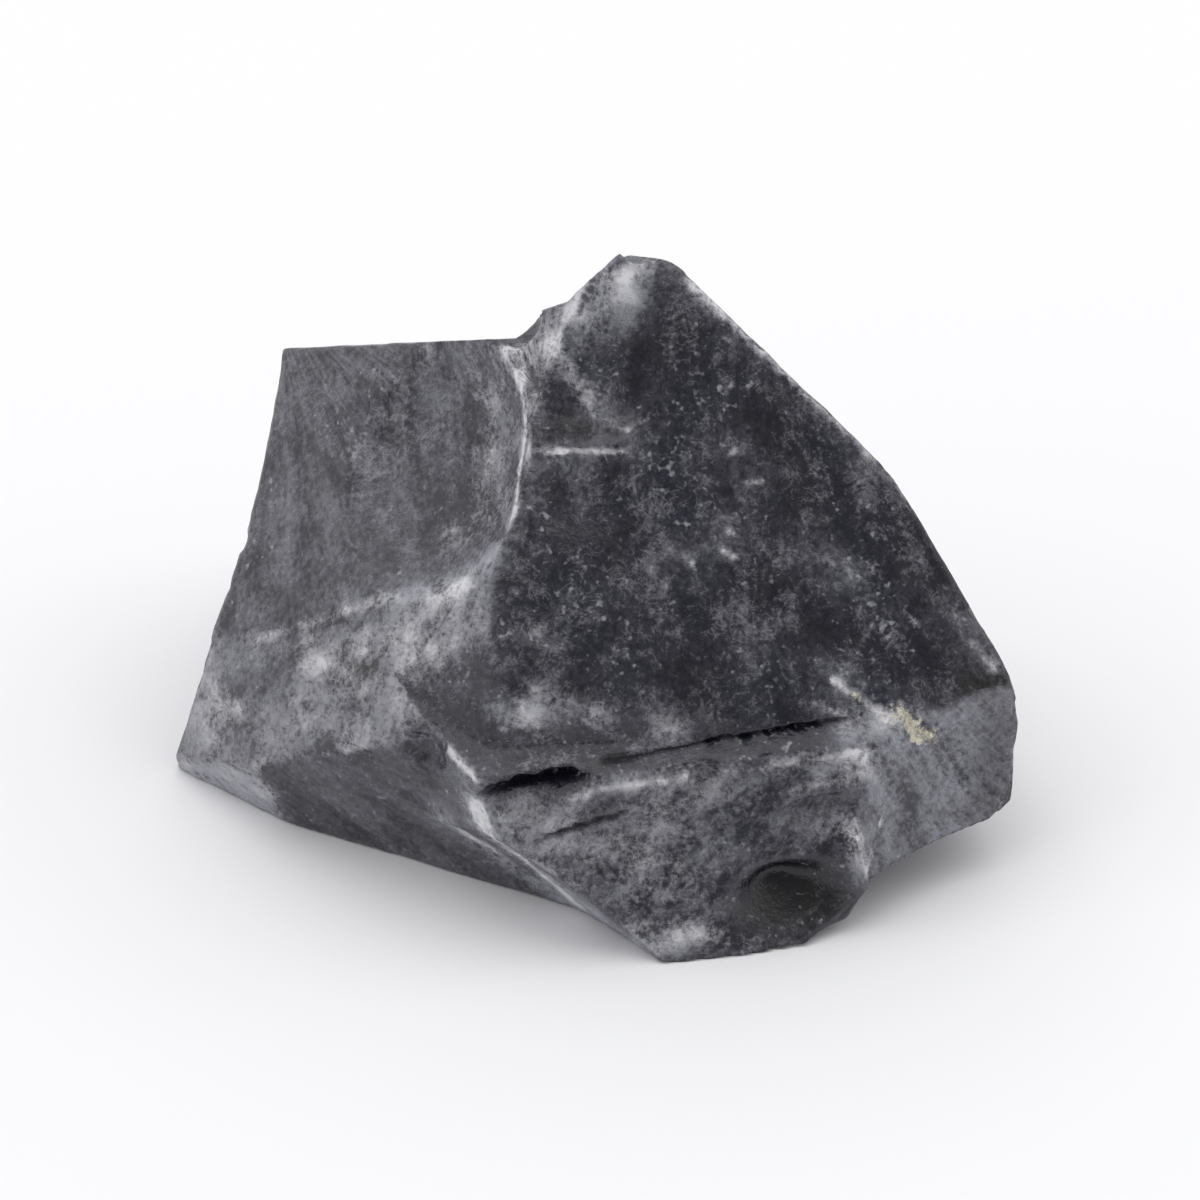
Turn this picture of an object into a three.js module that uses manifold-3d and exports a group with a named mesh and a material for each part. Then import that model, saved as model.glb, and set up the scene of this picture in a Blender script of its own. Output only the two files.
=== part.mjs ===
// An obsidian chunk: one broken lump of volcanic glass, about 60 mm wide and 42 mm high, bounded by
// the shell-shaped scars of the flakes that were struck off it. It is one solid, in one mesh.
//
// The stone is what is left of a block when each break has taken its piece away. A break is a flat,
// hollow or domed face through three corners of the stone, so the named corners below drive the shape.
// Millimetres, +Z up, X to the right and Y away from the side with the large dark face. The stone rests
// on a flat break at z = 0, and the origin is the middle of its bounding box at that height.
import * as THREE from "three";
import { mergeVertices } from "three/addons/utils/BufferGeometryUtils.js";
import Module from "manifold-3d";

const wasm = await Module();
wasm.setup();

// ---- driving dimensions -------------------------------------------------------------------------

const block = { width: 90, depth: 80, height: 60 };
const facetSag = 0.06; // how far a facet may lie from the round face that it stands for
const heart = new THREE.Vector3(0, 0, 13); // a point well inside the glass: every break faces away from it

const at = (x, y, z) => new THREE.Vector3(x, y, z);

// corners on the side with the large dark face, from the top down
const knobTop = at(2, 1.6, 42.4);
const knobLeft = at(-0.2, 0.8, 41.5);
const apex = at(4.9, 2, 41.6);
const notch = at(-2.4, -0.7, 40.1);
const crestTop = at(-4.7, -1.4, 39.8);
const crest = at(-7.5, -3, 38.4);
const pinch = at(-6.7, -10.1, 27.5);
const shoulder = at(20, -3.7, 27.9);
const cheekbone = at(28.6, -10.4, 14.9);
const nose = at(29.8, -12.2, 11.7);
const knuckle = at(23.4, -12.7, 11.4);
const jaw = at(28.9, -12.2, 4.9);
const jawFoot = at(27.7, -13.4, 4.5);
const chin = at(18.8, -19.2, 3.8);
const lobeTop = at(-26.8, -1, 10.2);
const lobeTip = at(-31, -2.6, 5);
const wallTop = at(-10.9, -17, 13.6);
const ledgeLeft = at(-7.7, -20.2, 12.5);
const ledgeRight = at(17.6, -13.8, 13.4);
const cheekFoot = at(-22.2, -7.4, 0);
const bendFoot = at(-1.8, -17.5, 0);
const toe = at(4.2, -23.7, 0);

// corners on the far side
const behind = at(0, 12, 30);
const backTop = at(3, 8.5, 41);
const backRim = at(-24, 20.5, 27);
const backFoot = at(-8, 24.5, 0);
const rightFoot = at(22, 18, 2);

// ---- the glass that each kind of break takes away ---------------------------------------------------

// A geometry's positions as one closed solid.
function solidOf(geometry) {
  geometry.deleteAttribute("normal");
  geometry.deleteAttribute("uv");
  const merged = mergeVertices(geometry);
  return new wasm.Manifold(new wasm.Mesh({
    numProp: 3,
    vertProperties: merged.attributes.position.array,
    triVerts: new Uint32Array(merged.index.array),
  }));
}

// Everything beyond a flat face through a point: a large box that stands on the face.
function beyond(point, normal) {
  const reach = 200;
  const box = new THREE.BoxGeometry(reach, reach, reach);
  const turn = new THREE.Quaternion().setFromUnitVectors(at(0, 0, 1), normal);
  box.applyQuaternion(turn);
  const middle = point.clone().addScaledVector(normal, reach / 2);
  box.translate(middle.x, middle.y, middle.z);
  return solidOf(box);
}

// A ball with facets small enough for facetSag. An icosahedron's edge is 1.05 radii, cut in equal steps.
function ball(centre, radius) {
  const step = Math.sqrt(8 * radius * facetSag);
  const geometry = new THREE.IcosahedronGeometry(radius, Math.ceil((1.05 * radius) / step));
  geometry.translate(centre.x, centre.y, centre.z);
  return solidOf(geometry);
}

// A break through three corners: flat, or the part of a ball's surface that passes through them. A dish
// above 0 hollows the face by that much in the middle, and one below 0 leaves it standing proud.
function through(a, b, c, dish = 0) {
  const normal = new THREE.Triangle(a, b, c).getNormal(new THREE.Vector3());
  if (normal.dot(a.clone().sub(heart)) < 0) normal.negate();
  if (dish === 0) return beyond(a, normal);

  const middle = circumcentre(a, b, c);
  const rim = middle.distanceTo(a);
  const radius = (rim * rim + dish * dish) / (2 * Math.abs(dish));
  const rise = radius - Math.abs(dish);
  if (dish > 0) return ball(middle.addScaledVector(normal, rise), radius);
  return lump().subtract(ball(middle.addScaledVector(normal, -rise), radius));
}

// The point that is equally far from three corners, in their plane.
function circumcentre(a, b, c) {
  const ab = b.clone().sub(a);
  const ac = c.clone().sub(a);
  const across = ab.clone().cross(ac);
  const toMiddle = across.clone().cross(ab).multiplyScalar(ac.lengthSq());
  toMiddle.add(ac.clone().cross(across).multiplyScalar(ab.lengthSq()));
  return toMiddle.divideScalar(2 * across.lengthSq()).add(a);
}

// A round scar: a ball's cap of the given depth, sunk into the glass at a point of a face.
function scar(point, towards, radius, depth) {
  return ball(point.clone().addScaledVector(towards.clone().normalize(), radius - depth), radius);
}

// The block before any break. Its underside is the flat face that the stone rests on.
function lump() {
  const geometry = new THREE.BoxGeometry(block.width, block.depth, block.height);
  geometry.translate(0, 0, block.height / 2);
  return solidOf(geometry);
}

// ---- the breaks ---------------------------------------------------------------------------------

// The large dark face and the two bevels along its lower left all stop at a ledge above the front.
const darkFace = through(apex, cheekbone, ledgeLeft);
const leftBevel = through(at(-8.9, -13.1, 23.6), at(-7.3, -15.7, 19.2), at(-10.6, -14.2, 17.2));
const lowBevel = through(at(-4.5, -16.2, 17.4), at(9.1, -15.1, 14.4), at(-7.7, -17.5, 12));
const aboveLedge = through(ledgeLeft, ledgeRight, at(17.6, -7.8, 15.6));

// The cheek is cut back beside the front, to a wall that turns a corner at its upper end.
const cheek = through(wallTop, cheekFoot, bendFoot);
const wallBesideFront = through(at(-10.6, -18.6, 9), bendFoot, toe, 0.6);
const wallEnd = through(wallTop, at(-8.7, -19.6, 12.3), at(-10.7, -16.3, 7.4));

// Behind the crest the glass broke away in steps: a long one along the rim, and three short ones
// that climb from the crest to the knob.
const rimWall = through(at(-7.7, 4.5, 33.3), at(-15.5, 12, 27.9), at(-10, 22, 21.4));
const crestWall = through(crest, crestTop, behind);
const notchWall = through(crestTop, notch, behind);
const knobWall = through(notch, knobLeft, behind);

// Under the jaw a piece is missing, back to a wall behind the chin.
const underJaw = through(chin, jawFoot, at(18, 3, 0));
const behindChin = through(chin, at(16.9, -20, 0), at(17, -10, 0));

const breaks = {
  darkFace: darkFace.add(leftBevel).add(lowBevel).intersect(aboveLedge),
  front: through(at(-8.4, -20.7, 11.5), at(19.4, -15.5, 12.8), at(9.5, -23.1, 0)),
  cheek: cheek.intersect(wallBesideFront.add(wallEnd)),
  underTheTip: through(lobeTip, at(-26.5, -7, 6.5), cheekFoot),
  lobe: through(pinch, lobeTop, ledgeLeft, -1.2),
  scoop: through(at(-7.5, 0.1, 35.9), at(-4.9, -6.7, 32.3), at(-9.7, -11, 23.4), 3.6),
  gully: through(at(-14.3, -8.5, 20.9), at(-25.6, -1.7, 11.7), at(-18, 9.5, 29.5)),
  leftEnd: through(at(-21.5, 16, 25.2), lobeTip, at(-22, 14, 0), 2),
  jaw: through(knuckle, chin, jaw, 1),
  underJaw: underJaw.intersect(behindChin),
  heel: through(at(17.1, -20.4, 0), at(13.6, -23.2, 0), at(17.6, -20.6, 3)),
  rightEnd: through(nose, jaw, rightFoot, 0.5),
  besideNose: through(cheekbone, nose, at(24, 10, 8)),
  jawCorner: through(jaw, jawFoot, at(24, 4, 3)),
  upperShoulder: through(apex, shoulder, at(12, 16, 20)),
  lowerShoulder: through(shoulder, cheekbone, at(19, 18, 8), -0.3),
  rightFlank: scar(at(21, 8, 16), at(0.9, 0.35, 0.4), 26, 3.6),
  stepsBehindCrest: rimWall.intersect(crestWall.add(notchWall)).intersect(knobWall),
  topOfKnob: through(knobTop, apex, at(2, 8.5, 37.5)),
  backLeft: through(backTop, backRim, backFoot, 1.5),
  backRight: through(at(3, 8, 41), at(17, 22, 4), backFoot, 1.5),
  backScar: scar(at(8, 21, 10), at(0.15, 0.95, 0.25), 16, 3),
};

// ---- the stone ------------------------------------------------------------------------------------

let stone = lump();
for (const piece of Object.values(breaks)) stone = stone.subtract(piece);

// A solid as a three.js geometry.
function geometryOf(solid) {
  const mesh = solid.getMesh();
  const geometry = new THREE.BufferGeometry();
  geometry.setAttribute("position", new THREE.BufferAttribute(mesh.vertProperties, 3));
  geometry.setIndex(new THREE.BufferAttribute(mesh.triVerts, 1));
  geometry.computeVertexNormals();
  return geometry;
}

const geometry = geometryOf(stone);
geometry.computeBoundingBox();
const { min, max } = geometry.boundingBox;
geometry.translate(-(min.x + max.x) / 2, -(min.y + max.y) / 2, -min.z);

// Obsidian: near-black glass with a faint blue cast, smooth where it parted cleanly.
const obsidian = new THREE.MeshStandardMaterial({ color: 0x1b1b1f, roughness: 0.22, metalness: 0 });

const chunk = new THREE.Mesh(geometry, obsidian);
chunk.name = "obsidian_chunk";

const part = new THREE.Group();
part.add(chunk);
export default part;
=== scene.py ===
"""An obsidian chunk on a pale studio floor: the fine surface of the glass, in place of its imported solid."""
from collections import namedtuple

import bpy
import numpy as np
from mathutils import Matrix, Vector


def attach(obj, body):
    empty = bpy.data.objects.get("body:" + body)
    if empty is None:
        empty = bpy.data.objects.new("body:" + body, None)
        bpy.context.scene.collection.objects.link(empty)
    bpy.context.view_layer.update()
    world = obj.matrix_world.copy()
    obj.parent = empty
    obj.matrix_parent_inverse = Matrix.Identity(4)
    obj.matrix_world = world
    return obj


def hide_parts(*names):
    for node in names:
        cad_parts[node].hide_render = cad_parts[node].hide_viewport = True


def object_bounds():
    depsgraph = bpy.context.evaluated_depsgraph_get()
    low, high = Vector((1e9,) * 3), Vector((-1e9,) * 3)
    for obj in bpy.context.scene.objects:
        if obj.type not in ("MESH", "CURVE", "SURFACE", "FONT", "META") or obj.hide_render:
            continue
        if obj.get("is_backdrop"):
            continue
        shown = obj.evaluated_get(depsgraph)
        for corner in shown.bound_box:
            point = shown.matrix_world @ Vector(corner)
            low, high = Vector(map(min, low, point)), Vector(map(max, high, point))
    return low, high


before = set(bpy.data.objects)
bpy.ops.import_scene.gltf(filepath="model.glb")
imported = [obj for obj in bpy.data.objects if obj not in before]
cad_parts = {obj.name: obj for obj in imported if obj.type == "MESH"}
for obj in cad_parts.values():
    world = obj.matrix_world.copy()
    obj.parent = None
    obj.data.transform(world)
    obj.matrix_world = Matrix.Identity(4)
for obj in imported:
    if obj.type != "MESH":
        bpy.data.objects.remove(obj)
cad_low, cad_high = (np.array(corner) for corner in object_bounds())

# ---- the chunk ----------------------------------------------------------------------------------
# One broken lump of volcanic glass, bounded by the scars of the flakes that were struck off it.
# It is all one material: black glass, dull where an edge was crushed and bright where it parted clean.
#
# The stone is what is left of a block when each break has taken its piece away. Lengths are in
# millimetres. Seen from HEART, a point well inside the glass, each break lies at one distance in each
# direction, and the stone's surface is the nearest of them.

HEART = np.array([0.0, 0.0, 13.0])
NEVER = 1000.0  # a distance beyond the block, where a break doesn't reach
MM = 0.001


def at(x, y, z):
    return np.array([x, y, z], float)


def unit(vectors):
    return vectors / np.linalg.norm(vectors, axis=-1, keepdims=True)


# corners on the side with the large dark face, from the top down
knob_top = at(2, 1.6, 42.4)
knob_left = at(-0.2, 0.8, 41.5)
apex = at(4.9, 2, 41.6)
notch = at(-2.4, -0.7, 40.1)
crest_top = at(-4.7, -1.4, 39.8)
crest = at(-7.5, -3, 38.4)
pinch = at(-6.7, -10.1, 27.5)
shoulder = at(20, -3.7, 27.9)
cheekbone = at(28.6, -10.4, 14.9)
nose = at(29.8, -12.2, 11.7)
knuckle = at(23.4, -12.7, 11.4)
jaw = at(28.9, -12.2, 4.9)
jaw_foot = at(27.7, -13.4, 4.5)
chin = at(18.8, -19.2, 3.8)
lobe_top = at(-26.8, -1, 10.2)
lobe_tip = at(-31, -2.6, 5)
wall_top = at(-10.9, -17, 13.6)
ledge_left = at(-7.7, -20.2, 12.5)
ledge_right = at(17.6, -13.8, 13.4)
cheek_foot = at(-22.2, -7.4, 0)
bend_foot = at(-1.8, -17.5, 0)
toe = at(4.2, -23.7, 0)

# corners on the far side
behind = at(0, 12, 30)
back_top = at(3, 8.5, 41)
back_rim = at(-24, 20.5, 27)
back_foot = at(-8, 24.5, 0)
right_foot = at(22, 18, 2)


def flat(normal, point):
    """A plane's distance in each direction: its height above HEART over the direction's rise to it."""
    height = normal @ (point - HEART)

    def distance(directions):
        rise = directions @ normal
        return np.where(rise > 1e-6, height / np.maximum(rise, 1e-6), NEVER)

    return distance


def hollow(centre, radius):
    """The near side of a ball that stands outside the stone: along each direction, the way to the point
    beside the ball's centre, less half of the stretch that lies inside the ball."""
    offset = centre - HEART

    def distance(directions):
        beside = directions @ offset
        half_squared = beside**2 - offset @ offset + radius**2
        inside = (half_squared > 0) & (beside > 0)
        return np.where(inside, beside - np.sqrt(np.maximum(half_squared, 0)), NEVER)

    return distance


def dome(centre, radius):
    """The far side of a ball that holds HEART: the way to the point beside its centre, plus half of the
    stretch that lies inside the ball."""
    offset = centre - HEART

    def distance(directions):
        beside = directions @ offset
        return beside + np.sqrt(np.maximum(beside**2 - offset @ offset + radius**2, 0))

    return distance


def through(a, b, c, dish=0.0):
    """A break through three corners: flat, or a ball's face through them that is hollowed by dish in the
    middle, or stands proud by it where dish is below 0."""
    across = np.cross(b - a, c - a)
    normal = unit(across)
    if normal @ (a - HEART) < 0:
        normal = -normal
    if dish == 0:
        return flat(normal, a)
    ab, ac = b - a, c - a
    to_middle = np.cross(across, ab) * (ac @ ac) + np.cross(ac, across) * (ab @ ab)
    to_middle /= 2 * across @ across
    radius = (to_middle @ to_middle + dish**2) / (2 * abs(dish))
    middle = a + to_middle
    if dish > 0:
        return hollow(middle + normal * (radius - dish), radius)
    return dome(middle - normal * (radius + dish), radius)


def bowl(point, towards, radius, depth):
    """A round scar: a ball's cap of the given depth, sunk into the glass at a point of a face."""
    return hollow(point + unit(towards) * (radius - depth), radius)


def nearest(distances, rounding):
    """A rounded minimum along the first axis: minus rounding times the log of the sum of
    exp(-distance / rounding). Where two breaks are equally far it lies 0.7 roundings nearer."""
    least = distances.min(axis=0)
    return least - rounding * np.log(np.exp((least - distances) / rounding).sum(axis=0))


def either(*surfaces, rounding=0.02):
    """Breaks that each took their own piece: the nearest one in each direction."""
    return lambda directions: nearest(np.stack([s(directions) for s in surfaces]), rounding)


def step(first, second):
    """A break in a step: glass is gone only where it lies beyond both walls, so the farther one counts."""
    return lambda directions: np.maximum(first(directions), second(directions))


# A break's surface, the point where the blow that made it fell, often on glass that has gone since, its
# ripples' spacing at 2 mm from there and their height, how thick a film of fine dust dulls it, and how
# much crushed glass is scattered on it, both from 0 to 1. Under the tip these two are set high as a painted
# reflection of the floor.
Break = namedtuple("Break", "surface struck spacing height film grit")

dark_face = through(apex, cheekbone, ledge_left)
left_bevel = through(at(-8.9, -13.1, 23.6), at(-7.3, -15.7, 19.2), at(-10.6, -14.2, 17.2))
low_bevel = through(at(-4.5, -16.2, 17.4), at(9.1, -15.1, 14.4), at(-7.7, -17.5, 12))
above_ledge = through(ledge_left, ledge_right, at(17.6, -7.8, 15.6))
rim_wall = through(at(-7.7, 4.5, 33.3), at(-15.5, 12, 27.9), at(-10, 22, 21.4))
crest_wall = through(crest, crest_top, behind)
notch_wall = through(crest_top, notch, behind)
knob_wall = through(notch, knob_left, behind)
cheek = through(wall_top, cheek_foot, bend_foot)
wall_beside_front = through(at(-10.6, -18.6, 9), bend_foot, toe, 0.6)
wall_end = through(wall_top, at(-8.7, -19.6, 12.3), at(-10.7, -16.3, 7.4))
under_jaw = through(chin, jaw_foot, at(18, 3, 0))
behind_chin = through(chin, at(16.9, -20, 0), at(17, -10, 0))

breaks = {
    "dark face": Break(step(either(dark_face, left_bevel, low_bevel, rounding=0.35), above_ledge),
                       at(8, 10, 62), 2.0, 0.03, 0.035, 0.08),
    "front": Break(through(at(-8.4, -20.7, 11.5), at(19.4, -15.5, 12.8), at(9.5, -23.1, 0)),
                   at(28, -8, 22), 1.3, 0.05, 0.12, 0.47),
    "cheek": Break(step(cheek, either(wall_beside_front, wall_end)),
                   at(-36, 4, 8), 2.0, 0.05, 0.12, 0.06),
    # the facet under the tip: its film and grit are a painted reflection of the floor
    "under the tip": Break(through(lobe_tip, at(-26.5, -7, 6.5), cheek_foot),
                           lobe_tip, 2.0, 0.0, 0.9, 0.7),
    "lobe": Break(through(pinch, lobe_top, ledge_left, -1.2), at(-4, -6, 36), 1.5, 0.09, 0.24, 0.6),
    "scoop": Break(through(at(-7.5, 0.1, 35.9), at(-4.9, -6.7, 32.3), at(-9.7, -11, 23.4), 3.6),
                   at(-12, 6, 50), 2.0, 0.05, 0.14, 0.45),
    "gully": Break(through(at(-14.3, -8.5, 20.9), at(-25.6, -1.7, 11.7), at(-18, 9.5, 29.5)),
                   back_rim, 2.6, 0.08, 0.13, 0.16),
    "left end": Break(through(at(-21.5, 16, 25.2), lobe_tip, at(-22, 14, 0), 2),
                      back_rim, 2.4, 0.10, 0.05, 0.1),
    "jaw": Break(through(knuckle, chin, jaw, 1), at(8, -6, 26), 2.6, 0.03, 0.27, 0.0),
    "under jaw": Break(step(under_jaw, behind_chin), chin, 1.6, 0.04, 0.1, 0.1),
    "heel": Break(through(at(17.1, -20.4, 0), at(13.6, -23.2, 0), at(17.6, -20.6, 3)),
                  chin, 1.6, 0.0, 0.1, 0.2),
    "right end": Break(through(nose, jaw, right_foot, 0.5), nose, 2.2, 0.10, 0.08, 0.1),
    "beside nose": Break(through(cheekbone, nose, at(24, 10, 8)), nose, 2.2, 0.0, 0.1, 0.2),
    "jaw corner": Break(through(jaw, jaw_foot, at(24, 4, 3)), nose, 2.2, 0.0, 0.1, 0.2),
    "upper shoulder": Break(through(apex, shoulder, at(12, 16, 20)), apex, 2.8, 0.08, 0.05, 0.1),
    "lower shoulder": Break(through(shoulder, cheekbone, at(19, 18, 8), -0.3),
                            apex, 2.8, 0.08, 0.05, 0.1),
    "right flank": Break(bowl(at(21, 8, 16), at(0.9, 0.35, 0.4), 26, 3.6),
                         nose, 2.4, 0.12, 0.04, 0.12),
    "steps behind crest": Break(step(rim_wall, step(either(crest_wall, notch_wall), knob_wall)),
                                crest, 1.8, 0.05, 0.1, 0.2),
    "top of knob": Break(through(knob_top, apex, at(2, 8.5, 37.5)), crest, 1.8, 0.0, 0.1, 0.4),
    "back left": Break(through(back_top, back_rim, back_foot, 1.5), apex, 3.0, 0.12, 0.04, 0.12),
    "back right": Break(through(at(3, 8, 41), at(17, 22, 4), back_foot, 1.5),
                        at(6, 12, 38), 2.8, 0.14, 0.04, 0.12),
    "back scar": Break(bowl(at(8, 21, 10), at(0.15, 0.95, 0.25), 16, 3),
                       at(16, 20, 14), 1.8, 0.12, 0.06, 0.18),
    "base": Break(flat(at(0, 0, -1), at(0, 0, 0)), back_foot, 3.0, 0.0, 0.15, 0.3),
}

# Oval scars too small to bound the stone: the middle, the half length along a direction, the half
# width, and the depth. A soft one fades out at its rim. So does a deep one, inside which grit and dust are
# cleared as painted shade. A sharp one is a bowl with a crisp rim, and a steep one is a crack that is deep
# nearly out to its rim, with the same painted shade inside.
Scar = namedtuple("Scar", "middle along half_length half_width depth shape")
to_right = at(1, 0.15, 0)

scars = [
    Scar(at(-1.4, -5.4, 32.3), to_right, 4.4, 1.2, 0.45, "sharp"),  # the lens below the apex
    Scar(at(-1.0, -8.4, 28.0), to_right, 4.6, 3.4, 0.5, "soft"),  # the round flake in the dark face
    Scar(at(-4.1, -13.6, 21.3), at(1, 0, -0.2), 3.6, 1.6, 0.3, "soft"),
    Scar(at(26.2, -9.1, 17.5), at(0.5, -0.35, -0.8), 2.6, 0.7, 0.5, "sharp"),  # the crescent by the nose
    Scar(at(-4.7, -19.9, 12.1), at(26.4, 6.2, 1.6), 4.2, 1.0, 2.0, "steep"),  # the slot above the front, painted shade inside
    Scar(at(8.6, -16.0, 13.4), at(26.4, 6.2, 1.6), 9.5, 0.4, 1.0, "steep"),  # and its thin far end
    Scar(at(-1.3, -20.4, 9.3), at(6.9, 1.8, 1.4), 3.8, 0.22, 0.5, "steep"),  # a crack in the front
    Scar(at(14.8, -17.4, 8.6), at(1, 0.3, 0.15), 4.0, 1.3, 0.9, "soft"),  # the wedge under the knuckle
    Scar(at(13.5, -21.1, 2.9), at(1, 0.2, 0), 5.6, 3.9, 1.9, "deep"),  # the hollow low in the front, painted shade inside
    Scar(at(24.6, -12.6, 8.4), at(1, 0.3, 0.3), 3.6, 2.2, 0.35, "soft"),  # the shallow of the jaw
    Scar(at(0.0, -0.2, 40.6), at(1, 0.4, 0.8), 2.0, 0.9, 0.35, "sharp"),  # chips on the knob
    Scar(at(-11.6, -12.4, 19.0), at(1, -0.3, 0.9), 3.4, 1.2, 0.3, "soft"),  # dents down the lobe
    Scar(at(-20.5, -8.0, 12.3), at(1, -0.5, 0.6), 4.2, 1.3, 0.35, "soft"),
]
EDGES = {"soft": (1, 2), "deep": (1, 2), "sharp": (1, 1), "steep": (2, 1)}  # a and b of scar_depth

# Crushed places: the two ends of each, its half width, and how much crushed glass it adds. Those below 0
# are cleaner than the glass round them. The light foot of the wall is a painted reflection of the floor,
# and the cleared hollow is painted shade.
Crush = namedtuple("Crush", "start end half_width grit")

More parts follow.
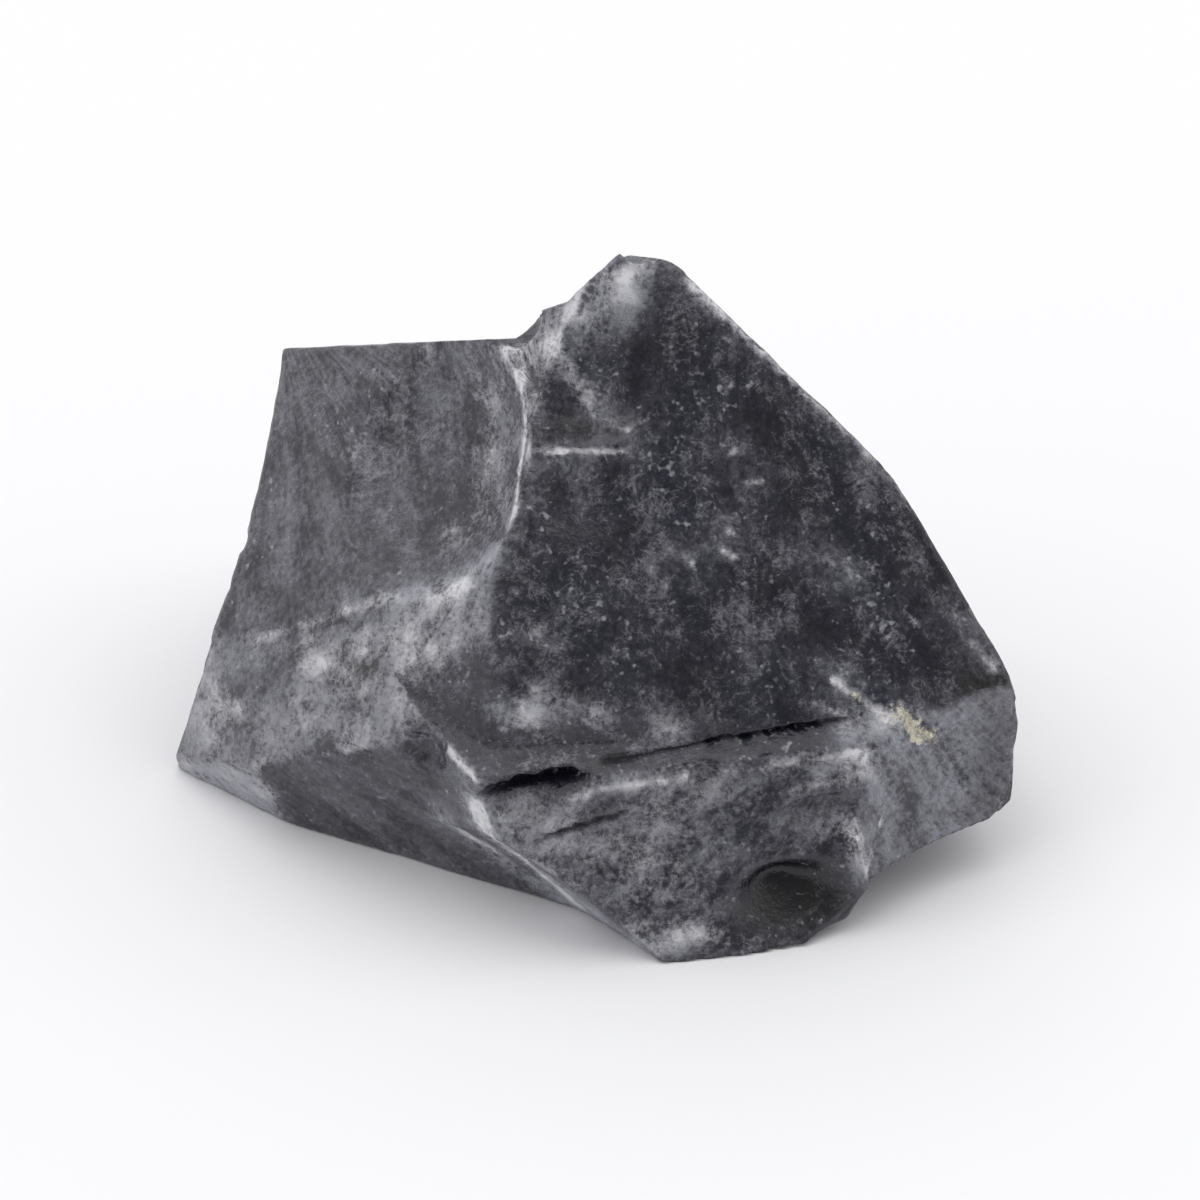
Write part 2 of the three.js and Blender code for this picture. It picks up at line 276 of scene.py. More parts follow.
crushes_and_painted_light = [
    Crush(at(-7.5, -11.2, 26.4), at(-9.7, -11.0, 23.4), 1.1, 0.12),  # the lobe's rim, from the pinch
    Crush(at(-9.7, -11.0, 23.4), at(-14.3, -8.6, 20.8), 1.0, 0.35),
    Crush(at(-14.3, -8.6, 20.8), at(-18.0, -6.6, 17.9), 0.6, 0.6),
    Crush(at(-18.0, -6.6, 17.9), at(-25.6, -1.7, 11.7), 0.5, 0.5),
    Crush(at(-10.7, -11.9, 21.1), at(-12.6, -12.0, 18.4), 2.4, 0.3),  # down the lobe
    Crush(at(-15.5, -9.6, 17.6), at(-20.8, -6.6, 13.0), 1.2, 0.25),
    Crush(at(-25.4, -3.6, 9.6), at(-23.2, -5.0, 11.2), 1.6, -0.6),  # a clean patch on the lobe
    Crush(at(-27.6, -2.6, 9.0), at(-24.8, -5.4, 7.2), 0.5, 0.35),
    Crush(at(-29.6, -1.4, 7.4), at(-28.6, -3.6, 5.4), 2.0, 0.35),  # the tip
    Crush(at(-7.3, -0.6, 37.0), at(-6.4, -0.8, 36.0), 0.8, 1.2),  # white blobs under the crest
    Crush(at(-6.1, -2.2, 35.4), at(-5.6, -2.8, 34.8), 0.6, 1.1),
    Crush(at(-5.6, -2.8, 34.8), at(-5.3, -4.4, 33.2), 0.5, 0.7),
    Crush(at(-5.3, -4.4, 33.2), at(-5.7, -6.2, 29.6), 0.35, 0.7),  # down the scoop's edge
    Crush(at(-5.7, -6.2, 29.6), at(-6.1, -9.1, 28.0), 0.35, 0.7),
    Crush(at(-6.1, -9.1, 28.0), at(-7.5, -11.2, 26.4), 0.4, 0.4),
    Crush(at(-9.6, -1.6, 30.6), at(-9.8, -5.6, 25.4), 2.6, 0.12),
    Crush(at(-2.2, -0.9, 40.0), at(0.4, 0.4, 41.4), 0.5, 0.7),  # the knob's left edge
    Crush(at(-1.2, -0.9, 39.3), at(0.9, 0.3, 40.5), 1.4, 1.05),  # below the knob
    Crush(at(0.2, 0.6, 41.4), at(3.4, 1.2, 41.4), 0.6, 0.6),
    Crush(at(6.0, 1.4, 40.4), at(19.0, -3.5, 29.0), 0.45, 0.9),  # down the right shoulder
    Crush(at(18.4, -3.6, 29.2), at(21.6, -4.6, 26.2), 0.5, 0.5),
    Crush(at(1.6, 0.6, 41.2), at(2.6, -0.4, 39.4), 0.5, 0.4),
    Crush(at(-3.4, -2.5, 37.6), at(-0.8, -4.3, 34.0), 0.8, 1.0),  # the streak under the notch
    Crush(at(-3.2, -1.6, 38.4), at(-3.6, -3.6, 35.2), 1.6, 0.15),
    Crush(at(-5.0, -6.9, 31.5), at(-2.8, -6.5, 31.4), 0.4, 0.9),  # the lens's lower rim
    Crush(at(-2.8, -6.5, 31.4), at(2.6, -5.7, 30.8), 0.28, 0.8),
    Crush(at(-0.6, -4.8, 33.2), at(1.8, -5.0, 32.1), 0.35, 0.9),
    Crush(at(1.8, -5.0, 32.1), at(3.8, -4.1, 32.8), 0.25, 0.7),
    Crush(at(-6.6, -9.9, 27.5), at(-4.4, -10.8, 25.6), 0.35, 0.5),
    Crush(at(-8.7, -12.8, 22.7), at(-7.5, -15.0, 19.6), 0.4, 0.3),  # the C-shaped edge of the bevels
    Crush(at(-7.5, -15.0, 19.6), at(-4.5, -15.8, 17.6), 0.4, 0.28),
    Crush(at(-4.5, -15.8, 17.6), at(-0.2, -15.8, 15.9), 0.35, 0.22),
    Crush(at(-5.6, -14.0, 21.4), at(-2.0, -13.3, 21.1), 1.2, 0.32),
    Crush(at(-8.0, -16.6, 16.4), at(4.0, -16.0, 15.0), 1.8, 0.5),  # the bevel above the slot
    Crush(at(-7.0, -18.8, 13.7), at(9.0, -15.6, 14.2), 1.1, 0.3),
    Crush(at(5.7, -9.2, 24.5), at(6.3, -9.4, 24.0), 0.4, 1.2),  # spots on the dark face
    Crush(at(8.5, -8.6, 24.4), at(9.2, -8.8, 24.0), 0.35, 1.0),
    Crush(at(9.0, -4.8, 29.9), at(9.3, -4.6, 30.1), 0.3, 1.0),
    Crush(at(10.1, -5.8, 28.1), at(11.4, -5.4, 28.2), 0.25, 0.8),
    Crush(at(8.9, -7.8, 25.6), at(9.2, -7.8, 25.4), 0.3, 1.0),
    Crush(at(14.8, -7.4, 24.0), at(16.1, -8.0, 22.7), 0.4, 1.0),
    Crush(at(16.8, -7.6, 22.9), at(17.4, -8.1, 21.9), 0.3, 0.9),
    Crush(at(7.7, -11.1, 21.0), at(9.6, -11.4, 19.8), 1.0, 0.18),
    Crush(at(21.0, -8.8, 19.9), at(21.8, -9.2, 18.8), 0.35, 0.8),
    Crush(at(16.2, -12.4, 16.1), at(20.0, -13.2, 13.5), 0.4, 1.1),  # into the crushed corner
    Crush(at(14.7, -13.5, 14.9), at(16.2, -13.6, 14.2), 0.35, 0.6),
    Crush(at(17.4, -13.8, 13.6), at(20.4, -13.5, 13.2), 1.2, 0.8),
    Crush(at(-7.6, -20.3, 12.3), at(-1.0, -19.6, 11.3), 0.25, 0.4),  # along the top of the front
    Crush(at(-1.0, -19.4, 11.6), at(18.0, -15.9, 12.3), 0.3, 0.5),
    Crush(at(17.4, -16.6, 11.4), at(19.4, -15.2, 12.2), 1.3, 0.35),
    Crush(at(17.6, -16.0, 12.3), at(19.2, -15.9, 10.3), 1.0, 0.35),
    Crush(at(16.4, -17.4, 9.7), at(18.6, -16.9, 9.3), 0.8, -0.5),
    Crush(at(17.2, -18.4, 7.3), at(18.4, -18.6, 5.8), 1.0, 0.4),
    Crush(at(20.0, -15.4, 9.2), at(19.6, -16.6, 6.8), 0.3, 0.8),
    Crush(at(19.6, -16.6, 6.8), at(18.5, -19.2, 4.3), 0.3, 0.8),
    Crush(at(18.6, -16.2, 10.6), at(13.0, -17.6, 10.4), 0.25, 0.5),
    Crush(at(19.2, -15.9, 10.2), at(18.2, -18.3, 6.7), 0.6, 0.3),  # down the edge of the jaw
    Crush(at(18.2, -18.3, 6.7), at(18.6, -19.4, 3.6), 0.5, 0.4),
    Crush(at(23.7, -12.5, 11.6), at(28.3, -10.7, 12.5), 0.3, 0.7),  # the top edge of the jaw
    Crush(at(-10.9, -17.0, 13.5), at(-8.7, -19.6, 12.3), 0.35, 0.8),  # the wall's upper end
    Crush(at(-10.2, -17.9, 11.5), at(-9.4, -18.9, 9.3), 0.9, 0.3),
    Crush(at(-10.0, -15.4, 5.6), at(-4.4, -17.2, 1.4), 1.0, 1.0),  # the light foot of the wall, a painted reflection of the floor, in this line and the next
    Crush(at(-8.6, -19.5, 9.8), at(-1.8, -18.6, 1.2), 1.2, 1.45),
    Crush(at(-8.0, -21.0, 9.4), at(-3.6, -21.9, 6.6), 0.3, 0.5),
    Crush(at(-8.3, -19.9, 10.2), at(-1.6, -20.6, 3.0), 0.5, 0.5),  # the wall beside the front
    Crush(at(-1.8, -22.9, 4.3), at(4.0, -23.8, 0.6), 0.3, 0.5),
    Crush(at(4.4, -23.3, 1.4), at(6.4, -22.9, 1.9), 0.9, 0.5),  # the foot of the front
    Crush(at(2.0, -23.0, 2.6), at(10.0, -22.6, 0.9), 0.6, 0.35),
    Crush(at(10.0, -22.6, 0.7), at(16.5, -21.4, 0.6), 0.35, 0.4),
    Crush(at(12.4, -21.2, 2.7), at(14.4, -21.0, 2.5), 3.0, -0.8),  # the hollow: grit taken away as painted shade
    Crush(at(8.0, -20.0, 7.4), at(15.0, -18.6, 8.0), 2.4, -0.18),
    Crush(at(24.6, -8.5, 19.2), at(26.0, -9.5, 17.2), 0.35, 0.8),  # beside the crescent
    Crush(at(26.0, -9.5, 17.2), at(27.6, -10.2, 15.5), 0.45, 0.9),
]

# Stained places: the two ends of each and its half width.
Stain = namedtuple("Stain", "start end half_width")

dusty_places_and_painted_reflection = [
    Stain(at(-8.6, -19.5, 9.8), at(-1.8, -18.6, 1.2), 1.6),  # the wall beside the front, a painted reflection of the floor, in this line and the next two
    Stain(at(-2.6, -19.6, 2.4), at(2.6, -21.8, 0.4), 1.8),
    Stain(at(-10.6, -15.8, 6.4), at(-3.4, -17.4, 1.2), 1.3),
    Stain(at(-1.2, -0.9, 39.3), at(1.6, 0.6, 40.6), 2.0),  # the knob
    Stain(at(-30.2, -2.2, 6.0), at(-28.4, -3.8, 4.6), 1.4),  # the tip
    Stain(at(-7.6, -10.8, 26.0), at(-13.7, -8.6, 20.4), 1.0),  # the pinch
    Stain(at(-7.6, -16.6, 16.4), at(0.0, -16.2, 15.4), 0.8),  # above the slot
    Stain(at(17.2, -14.6, 12.8), at(20.2, -13.6, 12.8), 0.9),  # the crushed corner
    Stain(at(4.0, -23.2, 1.2), at(7.0, -22.8, 1.8), 0.7),  # the toe
]
cream_stains = [
    Stain(at(20.4, -13.2, 13.7), at(22.6, -13.2, 12.0), 0.85),
    Stain(at(22.0, -13.5, 11.9), at(23.0, -13.0, 11.4), 0.6),
    Stain(at(16.9, -12.8, 15.6), at(18.0, -12.9, 14.8), 0.25),
]
olive_stains_and_painted_shade = [
    Stain(at(-6.6, -18.6, 13.7), at(1.5, -17.6, 13.6), 0.8),  # above the slot
    Stain(at(-4.0, -5.2, 32.2), at(1.4, -5.0, 32.6), 0.8),  # in the lens
    Stain(at(12.4, -21.2, 3.4), at(14.6, -20.8, 3.0), 2.2),  # in the hollow, an olive painted shade
    Stain(at(-19.6, -7.4, 14.2), at(-16.0, -10.2, 16.2), 0.9),  # on the lobe
    Stain(at(-29.6, -2.4, 6.2), at(-28.6, -3.6, 5.0), 1.4),
    Stain(at(25.6, -10.6, 14.6), at(27.0, -10.6, 14.0), 1.6),
    Stain(at(25.5, -13.2, 6.0), at(28.0, -12.4, 5.8), 1.2),
]

CELLS = 128  # along each edge of the cube that the grid is made on
TOWARDS_FACE = unit(at(0.05, -0.8, 0.6))
CROWDING = 0.25  # how much of the grid is drawn towards the large dark face


def round_grid(cells):
    """A closed grid of directions. The six sides of a cube carry a grid of tan(a), tan(b), with the two
    angles from -45 to 45 degrees in equal steps, and each point is drawn to unit length. Points that two
    sides share are one. The whole is then shifted towards the dark face and drawn to unit length again."""
    steps = np.arange(cells + 1)
    a, b = np.meshgrid(steps, steps, indexing="ij")
    corners = []
    for side in (0, cells):
        for axis in range(3):
            lattice = np.insert(np.stack([a, b], -1), axis, side, axis=-1)
            outwards = (side > 0) == (axis != 1)  # whether quads taken in this order face out
            corners.append(lattice if outwards else lattice.swapaxes(0, 1))
    corners = np.stack(corners)
    lattice, index = np.unique(corners.reshape(-1, 3), axis=0, return_inverse=True)
    index = index.reshape(corners.shape[:3])
    quads = np.stack([index[:, :-1, :-1], index[:, 1:, :-1], index[:, 1:, 1:], index[:, :-1, 1:]], -1)
    cube = np.tan((lattice / cells - 0.5) * np.pi / 2)
    return unit(unit(cube) + CROWDING * TOWARDS_FACE), quads.reshape(-1, 4)


def cloudy(points, size, seed):
    """Smooth random values from -1 to 1: a random number at each corner of a cubic lattice with cells of
    the given size, and between them a blend by 3t^2 - 2t^3 along each axis. It repeats after 32 cells."""
    values = np.random.default_rng(seed).uniform(-1, 1, (32, 32, 32))
    scaled = points / size + 8  # any whole number would do: it picks where in the lattice the stone lies
    corner = np.floor(scaled).astype(int)
    t = scaled - corner
    t = t * t * (3 - 2 * t)
    total = np.zeros(len(points))
    for i, j, k in np.ndindex(2, 2, 2):
        weight = np.abs(1 - i - t[:, 0]) * np.abs(1 - j - t[:, 1]) * np.abs(1 - k - t[:, 2])
        total += weight * values[(corner[:, 0] + i) % 32, (corner[:, 1] + j) % 32, (corner[:, 2] + k) % 32]
    return total


def ripples(points, struck, spacing, height):
    """Rings round the point of the blow, further apart the further out they are: the height times the
    cosine of a phase, 2 pi (8 r)^0.5 / spacing at r mm, and a weaker cosine of twice the phase, which
    sharpens their crests. Slow noise bends and fades them."""
    away = np.linalg.norm(points - struck, axis=1) + 1.2 * cloudy(points, size=9, seed=11)
    phase = 2 * np.pi * np.sqrt(8 * np.maximum(away, 0)) / spacing
    fading = 0.5 + 0.5 * cloudy(points, size=7, seed=12)
    return height * fading * (np.cos(phase) + 0.3 * np.cos(2 * phase + 0.6))


def from_segment(points, start, end):
    """Each point's distance to the straight stretch between two ends."""
    line = end - start
    share = np.clip((points - start) @ line / (line @ line), 0, 1)
    return np.linalg.norm(points - start - share[:, None] * line, axis=1)


SCAR_REACH = 4  # mm above and below its middle, past which a scar cuts nothing


def scar_depth(points, facing, scar):
    """How deep an oval scar is at each point: the depth times (1 - q^a)^b, where q is the squared distance
    from its middle in half lengths, half widths and reaches, and a and b give the shape of its rim."""
    along = unit(scar.along - (scar.along @ facing) * facing)
    across = np.cross(facing, along)
    offset = points - scar.middle
    q = (offset @ along / scar.half_length) ** 2 + (offset @ across / scar.half_width) ** 2
    q += (offset @ facing / SCAR_REACH) ** 2
    a, b = EDGES[scar.shape]
    return scar.depth * np.maximum(1 - q**a, 0) ** b


def stained(points, stains):
    """How strong a stain is at each point: exp(-(d / half width)^2) for d mm from it, of the stain that is
    strongest there. Fine noise makes the edges ragged."""
    strength = [np.exp(-(from_segment(points, one.start, one.end) / one.half_width) ** 2) for one in stains]
    return np.clip(np.max(strength, axis=0) * (1 + 0.6 * cloudy(points, size=0.8, seed=41)), 0, 1)


# the faces, with their ripples, meeting in rounded ridges
ROUNDING = 0.14
RIDGE_WIDTH = 0.35

directions, quads = round_grid(CELLS)
distances = []
for one in breaks.values():
    plain = one.surface(directions)
    wave = ripples(HEART + directions * plain[:, None], one.struck, one.spacing, one.height)
    distances.append(plain + wave)
distances = np.stack(distances)
broken_by = distances.argmin(axis=0)
radius = nearest(distances, ROUNDING)
nearest_two = np.partition(distances, 1, axis=0)[:2]
to_ridge = nearest_two[1] - nearest_two[0]
ridge = np.exp(-to_ridge / RIDGE_WIDTH)  # 1 on a ridge, fading to 0 beside it
points = HEART + directions * radius[:, None]

# The scars and cracks within the faces. Each is sunk straight into the plane that best fits the surface
# round its middle.
FITTED = 1.5  # mm from the middle, the part of the surface that the plane is fitted to
RIM_DEPTH = 0.08  # the share of a scar's depth at which its rim is crushed most

rim = np.zeros(len(points))  # 1 on the rim of a sharp scar
painted_shade_in_scars = np.zeros(len(points))  # 1 inside a steep or a deep one, where grit and dust are cleared as painted shade
for scar in scars:
    nearby = np.linalg.norm(points - scar.middle, axis=1).argmin()
    around = np.linalg.norm(points - points[nearby], axis=1) < FITTED
    facing = np.linalg.svd(points[around] - points[around].mean(axis=0))[2][2]
    facing *= np.sign(facing @ directions[nearby])
    depth = scar_depth(points, facing, scar)
    radius -= depth / np.maximum(directions @ facing, 0.5)
    if scar.shape in ("steep", "deep"):
        painted_shade_in_scars = np.maximum(painted_shade_in_scars, np.clip(1.5 * depth / scar.depth, 0, 1))
    if scar.shape == "sharp":
        rim = np.maximum(rim, np.exp(-((depth / scar.depth / RIM_DEPTH - 1) ** 2)))

# Small flakes nibbled from the keen ridges, the larger ones rarer. A ridge is keen where the distances to
# its two faces soon part.
NIBBLES = 300
KEEN = 0.4  # mm by which the two distances differ, on average, up to NEAR_RIDGE mm away
NEAR_RIDGE = 1.5
CLEAR_OF_FLOOR = 0.8

random = np.random.default_rng(8)
on_ridge = np.flatnonzero((ridge > 0.6) & (points[:, 2] > CLEAR_OF_FLOOR))
nibbled = np.zeros(len(points))
for vertex in random.choice(on_ridge, NIBBLES, replace=False):
    centre = points[vertex]
    away = np.linalg.norm(points - centre, axis=1)
    if to_ridge[away < NEAR_RIDGE].mean() < KEEN:
        continue
    size = 0.8 + 1.8 * random.random() ** 3
    towards = unit(directions[vertex] + random.normal(0, 0.4, 3))
    cut = bowl(centre, towards, size, size * random.uniform(0.05, 0.14))
    deeper = radius - cut(directions)
    nibbled = np.maximum(nibbled, np.clip(deeper / 0.1, 0, 1) * random.uniform(0.1, 0.9))
    radius -= np.maximum(deeper, 0)

points = HEART + directions * radius[:, None]

# How much crushed glass lies on each point, and how thick the film of dust is. Breaks that meet blend
# over BLEND mm. There is more of both in the places listed above, and more crushed glass on the ridges,
# the rims and the nibbles. A thin film of dust lies round each crushed place too. Under the tip and on the
# wall beside the front, the extra is a painted reflection of the floor.
BLEND = 0.1
DUST_ROUND_CRUSH = 1.2  # mm beyond a crushed place's half width

patchy = cloudy(points, size=2.6, seed=21) + 0.6 * cloudy(points, size=1.1, seed=22)
share = np.exp((distances.min(axis=0) - distances) / BLEND)
share /= share.sum(axis=0)
grit = np.array([one.grit for one in breaks.values()]) @ share
grit += 0.3 * ridge * np.maximum(0.4 + patchy, 0)
grit += 0.3 * rim * np.maximum(0.3 + patchy, 0)
grit += 0.12 * patchy
grit += 0.15 * nibbled
film = np.array([one.film for one in breaks.values()]) @ share
film *= 1 + 0.5 * cloudy(points, size=4, seed=23)
film += 0.42 * stained(points, dusty_places_and_painted_reflection)
for marked_place in crushes_and_painted_light:
    away = from_segment(points, marked_place.start, marked_place.end)
    grit += marked_place.grit * np.exp(-((away / marked_place.half_width) ** 2)) * (1 + 0.35 * patchy)
    film += 0.06 * marked_place.grit * np.exp(-((away / (marked_place.half_width + DUST_ROUND_CRUSH)) ** 2))
# inside steep and deep scars, grit and film are cleared: painted shade
grit = np.clip(grit, 0, 1.3) * (1 - painted_shade_in_scars)
film = np.clip(film, 0, 1) * (1 - painted_shade_in_scars)

# crushed glass is rough: the surface is lowered by up to 0.25 mm where there is most of it
gritty = cloudy(points, size=0.9, seed=31) + 0.6 * cloudy(points, size=0.5, seed=32)
radius -= 0.14 * np.clip(grit, 0, 1) * (1 + 0.7 * gritty)
points = HEART + directions * radius[:, None]

# Streaks run out from each blow. Their coordinates are the angle round the blow, in mm at 12 mm out, a
# little of the way out, and a number for the break. Each quad's four corners take them from one break.
break_of_quad = broken_by[quads[:, 0]]
struck = np.array([one.struck for one in breaks.values()])[break_of_quad]
spoke = points[quads] - struck[:, None]
turn = np.arctan2(spoke @ unit(at(1, 0.3, 0.2)), -spoke @ unit(at(0, 0.6, 0.8)))
way_out = np.linalg.norm(spoke, axis=-1)
break_number = np.broadcast_to(break_of_quad[:, None], turn.shape)
flow = np.stack([12 * turn, 0.12 * way_out, 20 * break_number], -1)

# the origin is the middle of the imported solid's box, and no point may stand outside that box
box_middle = at(-0.597, 1.045, 0)
vertices = np.clip((points - box_middle) * MM, cad_low, cad_high)

mesh = bpy.data.meshes.new("obsidian")
mesh.from_pydata(vertices, [], quads.tolist())
mesh.shade_smooth()
layers = {
    "grit": grit,
    "film": film,
    "cream": stained(points, cream_stains),
    "olive": stained(points, olive_stains_and_painted_shade),
}
for name, values in layers.items():
    mesh.attributes.new(name, "FLOAT", "POINT").data.foreach_set("value", values.astype(np.float32))
flow_layer = mesh.attributes.new("flow", "FLOAT_VECTOR", "CORNER")
flow_layer.data.foreach_set("vector", flow.astype(np.float32).ravel())
chunk = bpy.data.objects.new("obsidian_glass", mesh)
bpy.context.scene.collection.objects.link(chunk)


def linear(hex_colour):
    """An sRGB hex colour as linear RGBA, by the sRGB transfer curve."""
    srgb = np.array([int(hex_colour[i:i + 2], 16) for i in (1, 3, 5)]) / 255
    return (*np.where(srgb <= 0.04045, srgb / 12.92, ((srgb + 0.055) / 1.055) ** 2.4), 1.0)


def add_node(tree, kind, inputs=None, **settings):
    """Adds a node: settings are its own properties, and inputs its sockets by name or number, each with
    a value or the output socket that feeds it."""
    new = tree.nodes.new(kind)
    for name, value in settings.items():
        setattr(new, name, value)
    for socket, value in (inputs or {}).items():
        if isinstance(value, bpy.types.NodeSocket):
            tree.links.new(value, new.inputs[socket])
        else:
            new.inputs[socket].default_value = value
    return new


# Volcanic glass: near-black with a faint blue cast, broken and never polished. A film of dust dulls its
# sheen, and grey crushed glass lies on it in grains, in hairlines that curl and in streaks that fan out
# from each blow, thickest along the ridges. Pale flecks of glass dust are scattered all over. Under the tip
# and on the wall beside the front, the film and crushed glass are a painted reflection of the floor; in the
# hollow and the cracks, where they are cleared, the dark glass is painted shade.
glass = bpy.data.materials.new("volcanic_glass")
glass.use_nodes = True
tree = glass.node_tree
tree.nodes.clear()

grit_and_painted_light_amount = add_node(tree, "ShaderNodeAttribute", attribute_name="grit").outputs["Fac"]
film_and_painted_light_amount = add_node(tree, "ShaderNodeAttribute", attribute_name="film").outputs["Fac"]
cream_amount = add_node(tree, "ShaderNodeAttribute", attribute_name="cream").outputs["Fac"]
olive_amount = add_node(tree, "ShaderNodeAttribute", attribute_name="olive").outputs["Fac"]
from_blow = add_node(tree, "ShaderNodeAttribute", attribute_name="flow").outputs["Vector"]
coordinates = add_node(tree, "ShaderNodeTexCoord")
in_mm = add_node(tree, "ShaderNodeVectorMath", {0: coordinates.outputs["Object"], "Scale": 1 / MM},
                 operation="SCALE").outputs["Vector"]

# noise with features of about 5.5, 1.6, 0.45 and 0.7 mm: it varies by about 0.1 to either side of 0.5
clouds = add_node(tree, "ShaderNodeTexNoise",
                  {"Vector": in_mm, "Scale": 1 / 5.5, "Detail": 5, "Roughness": 0.6}).outputs["Fac"]
blotches = add_node(tree, "ShaderNodeTexNoise",
                    {"Vector": in_mm, "Scale": 1 / 1.6, "Detail": 4, "Roughness": 0.65}).outputs["Fac"]
grains = add_node(tree, "ShaderNodeTexNoise",
                  {"Vector": in_mm, "Scale": 1 / 0.45, "Detail": 3, "Roughness": 0.7}).outputs["Fac"]
streaks = add_node(tree, "ShaderNodeTexNoise",
                   {"Vector": from_blow, "Scale": 1 / 0.7, "Detail": 3, "Roughness": 0.65}).outputs["Fac"]

# hairlines follow the line where a twisted noise is at its middle value
curls = add_node(tree, "ShaderNodeTexNoise",
                 {"Vector": in_mm, "Scale": 1 / 1.3, "Detail": 2, "Roughness": 0.6, "Distortion": 0.9})
off_line = add_node(tree, "ShaderNodeMath", {0: curls.outputs["Fac"], 1: 0.5}, operation="SUBTRACT")
off_line = add_node(tree, "ShaderNodeMath", {0: off_line.outputs[0]}, operation="ABSOLUTE")
on_line = add_node(tree, "ShaderNodeMapRange",
                   {"Value": off_line.outputs[0], "From Min": 0.005, "From Max": 0.035,
                    "To Min": 1.0, "To Max": 0.0}, interpolation_type="SMOOTHSTEP")

# crushed glass lies where the grit, the noises and the hairlines add up to enough
unevenness = add_node(tree, "ShaderNodeMath", {0: grains, 1: 0.9, 2: streaks}, operation="MULTIPLY_ADD")
unevenness = add_node(tree, "ShaderNodeMath", {0: blotches, 1: 0.5, 2: unevenness.outputs[0]},
                      operation="MULTIPLY_ADD").outputs[0]
crushing = add_node(tree, "ShaderNodeMath", {0: unevenness, 1: 2.2, 2: grit_and_painted_light_amount},
                    operation="MULTIPLY_ADD")
crushing = add_node(tree, "ShaderNodeMath", {0: on_line.outputs["Result"], 1: 0.35, 2: crushing.outputs[0]},
                    operation="MULTIPLY_ADD")
crushed = add_node(tree, "ShaderNodeMapRange",
                   {"Value": crushing.outputs[0], "From Min": 2.85, "From Max": 4.3,
                    "To Min": 0.0, "To Max": 1.0}, interpolation_type="SMOOTHSTEP").outputs["Result"]

# flecks are where a noise of 0.55 mm is at its highest, most of them where the clouds are high too
specks = add_node(tree, "ShaderNodeTexNoise",
                  {"Vector": in_mm, "Scale": 1 / 0.55, "Detail": 1.5, "Roughness": 0.5})
fleck_height = add_node(tree, "ShaderNodeMath", {0: clouds, 1: 0.55, 2: specks.outputs["Fac"]},
                        operation="MULTIPLY_ADD")
fleck_height = add_node(tree, "ShaderNodeMath", {0: blotches, 1: 0.4, 2: fleck_height.outputs[0]},
                        operation="MULTIPLY_ADD")
flecks = add_node(tree, "ShaderNodeMapRange",
                  {"Value": fleck_height.outputs[0], "From Min": 1.12, "From Max": 1.32,
                   "To Min": 0.0, "To Max": 0.75}, interpolation_type="SMOOTHSTEP").outputs["Result"]

# the bare glass, then the film, the crushed glass, the cream stains and the flecks over it
blue_cast = add_node(tree, "ShaderNodeMapRange", {"Value": clouds, "From Min": 0.45, "From Max": 0.7})
bare = add_node(tree, "ShaderNodeMix", {0: blue_cast.outputs["Result"], 6: linear("#11111c"),
                                        7: linear("#181827")}, data_type="RGBA").outputs[2]
# olive stains on the bare glass; the olive in the hollow is painted shade
bare = add_node(tree, "ShaderNodeMix", {0: olive_amount, 6: bare, 7: linear("#16150e")},
                data_type="RGBA").outputs[2]
film_patches = add_node(tree, "ShaderNodeMapRange",
                        {"Value": unevenness, "From Min": 1.0, "From Max": 1.4, "To Min": 0.3,
                         "To Max": 2.0})
# the pale film, which under the tip and on the wall beside the front is a painted reflection of the floor
film_share = add_node(tree, "ShaderNodeMath", {0: film_and_painted_light_amount, 1: film_patches.outputs["Result"]},
                      operation="MULTIPLY", use_clamp=True)
with_film_and_painted_light = add_node(tree, "ShaderNodeMix", {0: film_share.outputs[0], 6: bare, 7: linear("#aeaeb9")},
                 data_type="RGBA").outputs[2]
# the crushed grey, which on the light foot of the wall is a painted reflection of the floor
whiteness = add_node(tree, "ShaderNodeMapRange", {"Value": grit_and_painted_light_amount, "From Min": 0.4, "From Max": 1.3})
crushed_grey = add_node(tree, "ShaderNodeMix", {0: whiteness.outputs["Result"], 6: linear("#84848e"),
                                                7: linear("#dcdce0")}, data_type="RGBA").outputs[2]
with_crushed = add_node(tree, "ShaderNodeMix", {0: crushed, 6: with_film_and_painted_light, 7: crushed_grey},
                        data_type="RGBA").outputs[2]
cream_edge = add_node(tree, "ShaderNodeMath", {0: grains, 1: 2.0, 2: cream_amount},
                      operation="MULTIPLY_ADD")
cream = add_node(tree, "ShaderNodeMapRange", {"Value": cream_edge.outputs[0], "From Min": 1.4,
                                              "From Max": 2.0}, interpolation_type="SMOOTHSTEP")
cream_shade = add_node(tree, "ShaderNodeMapRange", {"Value": grains, "From Min": 0.4, "From Max": 0.65})
creams = add_node(tree, "ShaderNodeMix", {0: cream_shade.outputs["Result"], 6: linear("#a39d8a"),
                                          7: linear("#e0dbca")}, data_type="RGBA").outputs[2]
with_cream = add_node(tree, "ShaderNodeMix", {0: cream.outputs["Result"], 6: with_crushed, 7: creams},
                      data_type="RGBA").outputs[2]
colour = add_node(tree, "ShaderNodeMix", {0: flecks, 6: with_cream, 7: linear("#a0a0a8")},
                  data_type="RGBA").outputs[2]

dullness = add_node(tree, "ShaderNodeMath", {0: film_and_painted_light_amount, 1: 0.5, 2: crushed}, operation="MULTIPLY_ADD")
roughness = add_node(tree, "ShaderNodeMapRange",
                     {"Value": dullness.outputs[0], "To Min": 0.13, "To Max": 0.6}).outputs["Result"]

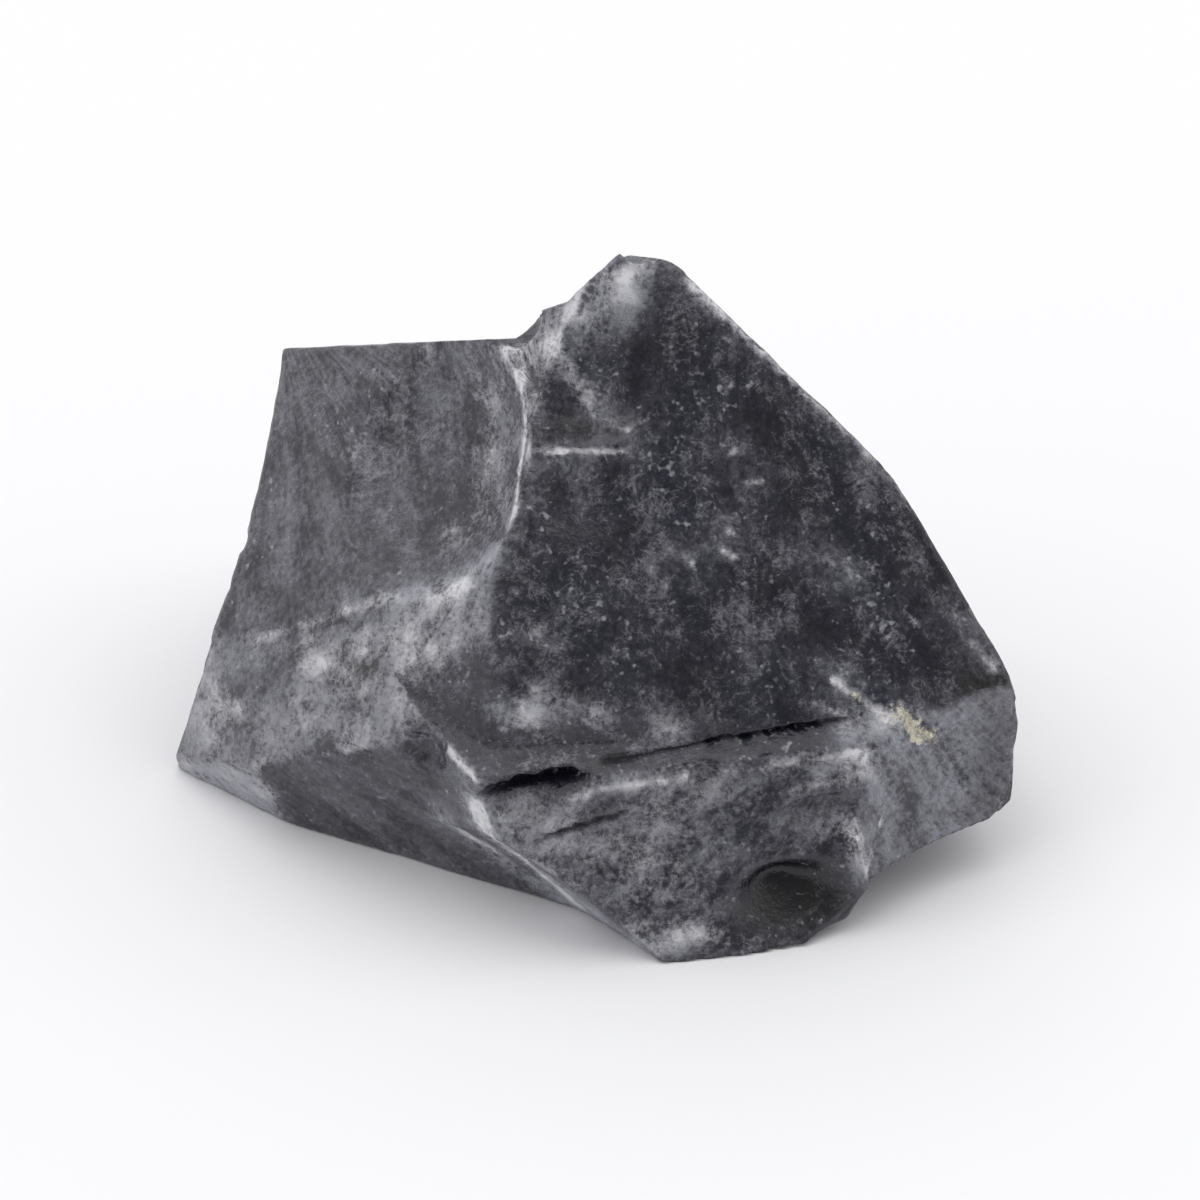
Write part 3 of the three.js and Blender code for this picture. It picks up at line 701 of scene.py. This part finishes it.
# relief in mm: crushed glass stands 0.12 proud, and the whole is uneven by a hundredth or two
relief = add_node(tree, "ShaderNodeMath", {0: unevenness, 1: 0.07}, operation="MULTIPLY")
relief = add_node(tree, "ShaderNodeMath", {0: crushed, 1: 0.12, 2: relief.outputs[0]},
                  operation="MULTIPLY_ADD")
bump = add_node(tree, "ShaderNodeBump", {"Strength": 1.0, "Distance": MM, "Height": relief.outputs[0]})

shader = add_node(tree, "ShaderNodeBsdfPrincipled",
                  {"Base Color": colour, "Roughness": roughness, "IOR": 1.5,
                   "Normal": bump.outputs["Normal"]})
add_node(tree, "ShaderNodeOutputMaterial", {"Surface": shader.outputs["BSDF"]})
mesh.materials.append(glass)

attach(chunk, "root")
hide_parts("obsidian_chunk")

# ---- the floor ----------------------------------------------------------------------------------
# A sheet of pale card, wide enough to fill the view. It isn't part of the object.

floor_mesh = bpy.data.meshes.new("floor")
half = 3.0  # metres from the middle to each edge
floor_mesh.from_pydata([(-half, -half, 0), (half, -half, 0), (half, half, 0), (-half, half, 0)],
                       [], [(0, 1, 2, 3)])
floor = bpy.data.objects.new("floor", floor_mesh)
bpy.context.scene.collection.objects.link(floor)
card = bpy.data.materials.new("pale_card")
card.use_nodes = True
card.node_tree.nodes["Principled BSDF"].inputs["Base Color"].default_value = linear("#f6f6f8")
card.node_tree.nodes["Principled BSDF"].inputs["Roughness"].default_value = 0.9
card.node_tree.nodes["Principled BSDF"].inputs["Specular IOR Level"].default_value = 0.1
floor_mesh.materials.append(card)
floor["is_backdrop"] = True

# ---- light and camera ---------------------------------------------------------------------------
# A light tent: white all round, brightest overhead, with an opening on the side that faces the room.

scene = bpy.context.scene
scene.view_settings.view_transform = "Standard"
world = bpy.data.worlds.new("white_tent")
world.use_nodes = True
sky = world.node_tree
outwards = add_node(sky, "ShaderNodeTexCoord").outputs["Generated"]
upwards = add_node(sky, "ShaderNodeSeparateXYZ", {0: outwards}).outputs["Z"]
tent = add_node(sky, "ShaderNodeMapRange",
                {"Value": upwards, "From Min": 0.1, "From Max": 0.9, "To Min": 0.88, "To Max": 1.43})
opening_middle = (0.1, -0.93, 0.36)
towards_room = add_node(sky, "ShaderNodeVectorMath", {0: outwards, 1: opening_middle},
                        operation="DOT_PRODUCT")
opening = add_node(sky, "ShaderNodeMapRange",
                   {"Value": towards_room.outputs["Value"], "From Min": 0.5, "From Max": 0.92,
                    "To Min": 1.0, "To Max": 0.25}, interpolation_type="SMOOTHSTEP")
lit = add_node(sky, "ShaderNodeMath", {0: tent.outputs["Result"], 1: opening.outputs["Result"]},
               operation="MULTIPLY")
sky.nodes["Background"].inputs["Color"].default_value = linear("#ffffff")
sky.links.new(lit.outputs[0], sky.nodes["Background"].inputs["Strength"])
scene.world = world

view_target = at(0.5, -5.9, 17.6) * MM
view_elevation = np.radians(35)
view_distance = 0.7
camera_data = bpy.data.cameras.new("camera")
camera_data.lens = 300
camera_data.clip_end = 10
camera = bpy.data.objects.new("camera", camera_data)
camera.location = view_target + view_distance * at(0, -np.cos(view_elevation), np.sin(view_elevation))
camera.rotation_euler = (np.pi / 2 - view_elevation, 0, 0)
scene.collection.objects.link(camera)
scene.camera = camera
